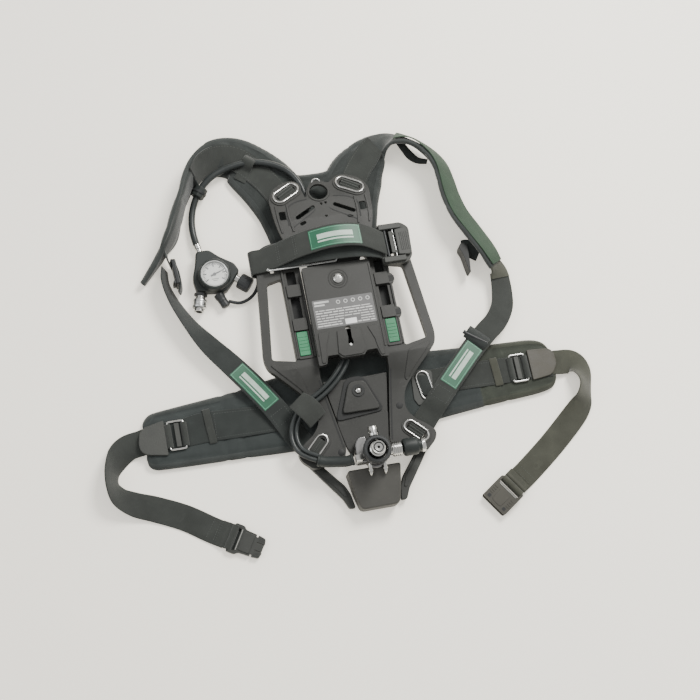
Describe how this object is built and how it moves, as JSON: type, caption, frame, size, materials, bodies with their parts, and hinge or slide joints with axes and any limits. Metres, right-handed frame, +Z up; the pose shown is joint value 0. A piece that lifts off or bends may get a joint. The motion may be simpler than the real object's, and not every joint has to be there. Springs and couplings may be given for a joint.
{
  "type": "breathing apparatus carrier",
  "caption": "Carrier of a self-contained breathing apparatus: back plate, padded harness with hip belt, pressure reducer, cylinder strap and gauge line, lying flat.",
  "frame": {"origin": "on the hip pad's flat underside, under the middle of the lumbar plate", "axes": "+Y up the back plate towards the shoulders, +X to the plate's right seen from above, +Z up from the surface it lies on"},
  "size_m": [0.8668, 0.7583, 0.1024],
  "materials": {
    "plate_plastic": "moulded, fine grain",
    "black_plastic": "moulded, satin",
    "black_rubber": "satin rubber",
    "webbing": "woven webbing",
    "padding": "padded woven fabric",
    "coated_tab": "coated fabric",
    "chrome": "polished",
    "steel": "bright",
    "reducer_metal": "dark plated",
    "green_plastic": "moulded",
    "dial_face": "printed card",
    "needle": "painted",
    "lens": "clear"
  },
  "bodies": {
    "carrier_frame": {"lower_frame": "plate_plastic", "lumbar_panel": "plate_plastic", "pivot_cover": "plate_plastic", "hose_flap": "plate_plastic", "guard_bar_left": "black_plastic", "guard_bar_right": "black_plastic", "bumper": "black_plastic", "strap_buckle_frame": "black_plastic", "alarm_sleeve": "black_plastic", "hose_boot": "black_rubber", "medium_pressure_hose": "black_rubber", "cylinder_strap": "webbing", "pivot_screw": "chrome", "lower_ring_left": "chrome", "lower_ring_right": "chrome", "strap_guide_wire": "chrome", "reducer_top_plug": "chrome", "inlet_spigot": "chrome", "outlet_fitting": "chrome", "hose_nut": "chrome", "slide_pin": "steel", "reducer_body": "reducer_metal"},
    "upper_plate": {"yoke_plate": "plate_plastic", "back_cover": "plate_plastic", "cover_bolt": "chrome", "upper_ring_left": "chrome", "upper_ring_right": "chrome", "shoulder_pad_left": "padding", "shoulder_pad_right": "padding", "pull_strap_left": "webbing", "pull_strap_right": "webbing", "shoulder_adjuster_left": "black_plastic", "shoulder_adjuster_right": "black_plastic", "hose_clip": "black_rubber", "gauge_hose": "black_rubber", "hose_ferrule": "chrome", "gauge_block": "black_rubber", "gauge_case": "black_rubber", "gauge_dial": "dial_face", "gauge_lens": "lens", "coupler_body": "chrome", "capped_neck": "chrome", "alarm_whistle": "black_rubber"},
    "hip_belt": {"hip_pad": "padding", "waist_tab_left": "coated_tab", "waist_tab_right": "coated_tab", "waist_webbing_left": "webbing", "waist_webbing_right": "webbing", "male_buckle": "black_plastic", "female_buckle": "black_plastic"},
    "latch_left": {"latch_left": "green_plastic"},
    "latch_right": {"latch_right": "green_plastic"},
    "hand_wheel": {"hand_wheel": "black_plastic"},
    "strap_lever": {"strap_buckle_lever": "black_plastic"},
    "coupler_sleeve": {"coupler_sleeve": "chrome"},
    "coupler_cap": {"coupler_cap": "black_plastic", "cap_tether": "black_rubber"},
    "gauge_needle": {"gauge_needle": "needle"},
    "waist_adjuster_left": {"waist_adjuster_left": "steel"},
    "waist_adjuster_right": {"waist_adjuster_right": "steel"}
  },
  "joints": [
    {"name": "plate_length_slide", "type": "slide", "parent": "carrier_frame", "child": "upper_plate", "axis": [0, 1, 0], "range_m": [-0.03, 0]},
    {"name": "latch_left_press", "type": "slide", "parent": "carrier_frame", "child": "latch_left", "axis": [0, 0, -1], "range_m": [0, 0.003], "stiffness_N_per_m": 800, "springref_m": -0.001},
    {"name": "latch_right_press", "type": "slide", "parent": "carrier_frame", "child": "latch_right", "axis": [0, 0, -1], "range_m": [0, 0.003], "stiffness_N_per_m": 800, "springref_m": -0.001},
    {"name": "hip_belt_swing", "type": "hinge", "parent": "carrier_frame", "child": "hip_belt", "pos_m": [0, -0.004, 0.014], "axis": [0, 0, 1], "range_deg": [-3, 3]},
    {"name": "hand_wheel_spin", "type": "hinge", "parent": "carrier_frame", "child": "hand_wheel", "pos_m": [0.004, -0.119, 0.084], "axis": [0, 0, 1], "continuous": true},
    {"name": "strap_lever_open", "type": "hinge", "parent": "carrier_frame", "child": "strap_lever", "pos_m": [0.1, 0.24, 0.069], "axis": [0, -1, 0], "range_deg": [0, 95]},
    {"name": "coupler_sleeve_slide", "type": "slide", "parent": "upper_plate", "child": "coupler_sleeve", "axis": [0.2599, 0.9656, 0], "range_m": [0, 0.004], "stiffness_N_per_m": 600, "springref_m": -0.001},
    {"name": "coupler_cap_pull", "type": "slide", "parent": "upper_plate", "child": "coupler_cap", "axis": [0.7799, -0.6259, 0], "range_m": [0, 0.018]},
    {"name": "gauge_needle_turn", "type": "hinge", "parent": "upper_plate", "child": "gauge_needle", "pos_m": [-0.206, 0.242, 0.0365], "axis": [0, 0, 1], "range_deg": [-65, 205]},
    {"name": "waist_adjuster_left_tilt", "type": "hinge", "parent": "hip_belt", "child": "waist_adjuster_left", "pos_m": [-0.301, -0.025, 0.0176], "axis": [0, 1, 0], "range_deg": [0, 35]},
    {"name": "waist_adjuster_right_tilt", "type": "hinge", "parent": "hip_belt", "child": "waist_adjuster_right", "pos_m": [0.2785, -0.005, 0.0176], "axis": [0, -1, 0], "range_deg": [0, 35]}
  ]
}
